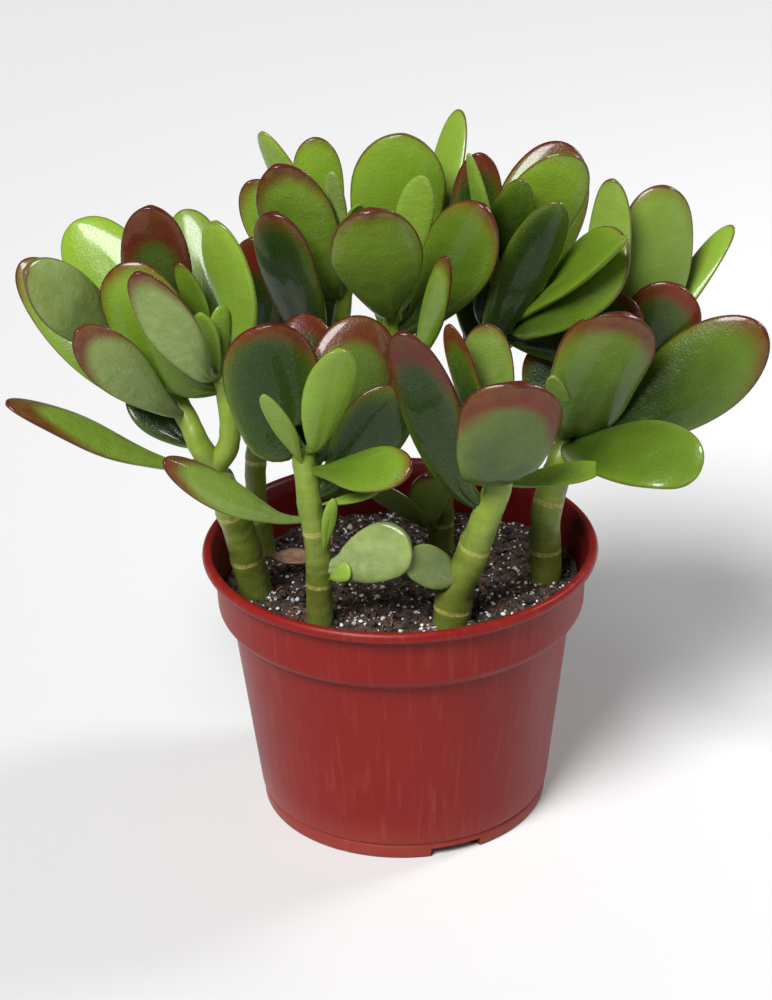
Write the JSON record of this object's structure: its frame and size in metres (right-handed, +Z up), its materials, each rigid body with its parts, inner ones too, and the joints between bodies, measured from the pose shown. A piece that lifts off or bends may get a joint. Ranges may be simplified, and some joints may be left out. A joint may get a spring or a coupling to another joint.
{
  "type": "potted jade plant",
  "caption": "Young jade plant with thick rounded succulent leaves on fleshy green stems, growing from dark soil in a round tapered plastic pot with a rolled lip.",
  "frame": {"origin": "The middle of the pot's foot, on the surface that the pot stands on.", "axes": "+Z up, along the pot's axis. +X to the plant's right as it is seen from its front, +Y to its back."},
  "size_m": [0.2566, 0.1421, 0.243],
  "materials": {
    "pot_plastic": "brick-red moulded plastic with a soft sheen",
    "potting_soil": "dark crumbly peat with fibres and white perlite",
    "fleshy_stem": "smooth juicy green skin with pale ring scars, browner near the soil",
    "green_leaf": "glossy waxy green skin with a thin dark red edge and fine pale specks",
    "blushed_leaf": "glossy waxy green skin that reddens broadly towards its edge and tip"
  },
  "bodies": {
    "root": {"pot": "pot_plastic", "soil": "potting_soil", "stem_left": "fleshy_stem", "leaf_left_1": "blushed_leaf", "leaf_left_2": "green_leaf", "leaf_left_3": "green_leaf", "leaf_left_4": "green_leaf", "leaf_left_5": "green_leaf", "leaf_left_6": "green_leaf", "leaf_left_7": "blushed_leaf", "leaf_left_8": "green_leaf", "leaf_left_9": "green_leaf", "leaf_left_10": "green_leaf", "leaf_left_11": "green_leaf", "stem_front_left": "fleshy_stem", "leaf_front_left_1": "green_leaf", "leaf_front_left_2": "green_leaf", "leaf_front_left_3": "blushed_leaf", "leaf_front_left_4": "green_leaf", "leaf_front_left_5": "green_leaf", "leaf_front_left_6": "green_leaf", "leaf_front_left_7": "green_leaf", "leaf_front_left_8": "green_leaf", "stem_front": "fleshy_stem", "leaf_front_1": "green_leaf", "leaf_front_2": "blushed_leaf", "leaf_front_3": "green_leaf", "stem_right": "fleshy_stem", "leaf_right_1": "blushed_leaf", "leaf_right_2": "green_leaf", "leaf_right_3": "green_leaf", "leaf_right_4": "green_leaf", "leaf_right_5": "blushed_leaf", "leaf_right_6": "green_leaf", "leaf_right_7": "green_leaf", "leaf_right_8": "green_leaf", "leaf_right_9": "green_leaf", "stem_back_left": "fleshy_stem", "leaf_back_left_1": "green_leaf", "leaf_back_left_2": "green_leaf", "leaf_back_left_3": "blushed_leaf", "leaf_back_left_4": "green_leaf", "leaf_back_left_5": "blushed_leaf", "leaf_back_left_6": "green_leaf", "leaf_back_left_7": "green_leaf", "leaf_back_left_8": "green_leaf", "stem_centre": "fleshy_stem", "leaf_centre_1": "green_leaf", "leaf_centre_2": "green_leaf", "leaf_centre_3": "green_leaf", "leaf_centre_4": "green_leaf", "leaf_centre_5": "green_leaf", "leaf_centre_6": "green_leaf", "leaf_centre_7": "green_leaf", "leaf_centre_8": "green_leaf", "leaf_centre_9": "blushed_leaf", "leaf_centre_10": "green_leaf", "leaf_centre_11": "green_leaf", "leaf_centre_12": "green_leaf", "leaf_centre_13": "green_leaf"}
  },
  "joints": []
}
